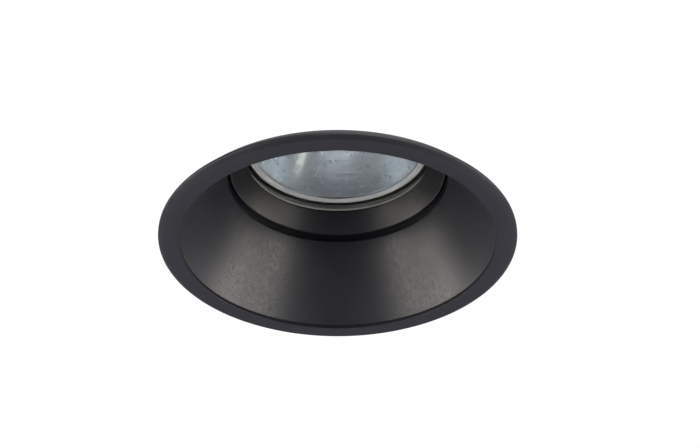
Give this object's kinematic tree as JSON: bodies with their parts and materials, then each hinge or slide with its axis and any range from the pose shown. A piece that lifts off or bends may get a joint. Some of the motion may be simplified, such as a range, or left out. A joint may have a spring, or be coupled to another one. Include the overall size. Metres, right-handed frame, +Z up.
{
  "type": "soffit downlight",
  "caption": "Round recessed soffit downlight with a deep black cone, a clear stepped lens, a twist-lock reflector lamp, sprung ceiling clips and a hinged terminal box.",
  "frame": {"origin": "centre of the ceiling plane: the back face of the flange, on the light's axis", "axes": "+Z up into the ceiling along the light's axis, the room at -Z; +X the cable-entry side and the right-hand clip, -X the left-hand clip; +Y the terminal lid's hinge side"},
  "size_m": [0.1444, 0.095, 0.1297],
  "materials": {
    "trim_black": "matt powder coat, fine texture",
    "ring_black": "matt powder coat, fine texture",
    "seal_foam": "closed-cell foam",
    "silicone": "matt translucent grey silicone",
    "oring_rubber": "black rubber",
    "lens_glass": "clear, polished",
    "can_aluminium": "spun satin aluminium",
    "zinc_steel": "zinc-plated",
    "spring_steel": "polished spring steel",
    "pad_rubber": "soft black rubber",
    "reflector_dichroic": "faceted dichroic mirror on glass",
    "lamp_glass": "clear pressed glass",
    "quartz": "clear quartz",
    "tungsten": "bare wire",
    "lamp_ceramic": "matt white ceramic",
    "nickel": "nickel-plated",
    "holder_ceramic": "matt white steatite",
    "brass": "bright brass",
    "box_plastic": "moulded, fine spark texture",
    "block_plastic": "moulded, natural white",
    "bush_rubber": "black rubber",
    "lead_brown": "silicone insulation",
    "lead_blue": "silicone insulation",
    "lead_green_yellow": "silicone insulation, green and yellow"
  },
  "bodies": {
    "root": {"trim_casting": "trim_black", "ceiling_seal": "seal_foam", "lens_gasket": "silicone", "can": "can_aluminium", "can_screws": "zinc_steel", "can_o_ring": "oring_rubber", "clip_bracket_left": "zinc_steel", "clip_bracket_right": "zinc_steel", "clip_rivets": "can_aluminium", "clip_pins": "zinc_steel", "clip_spring_left": "spring_steel", "clip_spring_right": "spring_steel", "lampholder_body": "holder_ceramic", "lampholder_cap": "holder_ceramic", "lampholder_contacts": "brass", "lampholder_screws": "zinc_steel", "lampholder_bracket": "zinc_steel", "bracket_screws": "zinc_steel", "bracket_nuts": "zinc_steel", "terminal_bracket": "zinc_steel", "terminal_box_base": "box_plastic", "lid_hinge_pin": "spring_steel", "lead_bush": "bush_rubber", "cable_grommet": "bush_rubber", "box_screws": "zinc_steel", "earth_tag": "brass", "earth_screw": "brass", "terminal_block": "block_plastic", "terminal_contacts": "brass", "terminal_screws": "zinc_steel", "cord_clamp": "box_plastic", "cord_clamp_screws": "zinc_steel", "lead_live": "lead_brown", "lead_neutral": "lead_blue", "lead_earth": "lead_green_yellow"},
    "clip_right": {"clip_arm_right": "zinc_steel", "clip_pad_right": "pad_rubber", "clip_spring_leg_right": "spring_steel"},
    "clip_left": {"clip_arm_left": "zinc_steel", "clip_pad_left": "pad_rubber", "clip_spring_leg_left": "spring_steel"},
    "lens_ring": {"lens_ring": "ring_black", "front_lens": "lens_glass"},
    "lamp": {"lamp_reflector": "reflector_dichroic", "lamp_cover_glass": "lamp_glass", "lamp_capsule": "quartz", "lamp_filament": "tungsten", "lamp_base": "lamp_ceramic", "lamp_pins": "nickel"},
    "box_lid": {"terminal_box_lid": "box_plastic"}
  },
  "joints": [
    {"name": "clip_right_hinge", "type": "hinge", "parent": "root", "child": "clip_right", "pos_m": [0.039, 0, 0.027], "axis": [0, -1, 0], "range_deg": [0, 125], "stiffness_Nm_per_rad": 0.35, "springref_deg": -45.84},
    {"name": "clip_left_hinge", "type": "hinge", "parent": "root", "child": "clip_left", "pos_m": [-0.039, 0, 0.027], "axis": [0, 1, 0], "range_deg": [0, 125], "stiffness_Nm_per_rad": 0.35, "springref_deg": -45.84},
    {"name": "lens_ring_twist", "type": "hinge", "parent": "root", "child": "lens_ring", "pos_m": [0, 0, 0.0247], "axis": [0, 0, -1], "range_deg": [0, 20]},
    {"name": "lamp_twist", "type": "hinge", "parent": "root", "child": "lamp", "pos_m": [0, 0, 0.081], "axis": [0, 0, -1], "range_deg": [0, 20]},
    {"name": "terminal_lid_hinge", "type": "hinge", "parent": "root", "child": "box_lid", "pos_m": [0, 0.0192, 0.1219], "axis": [-1, 0, 0], "range_deg": [0, 110]}
  ]
}
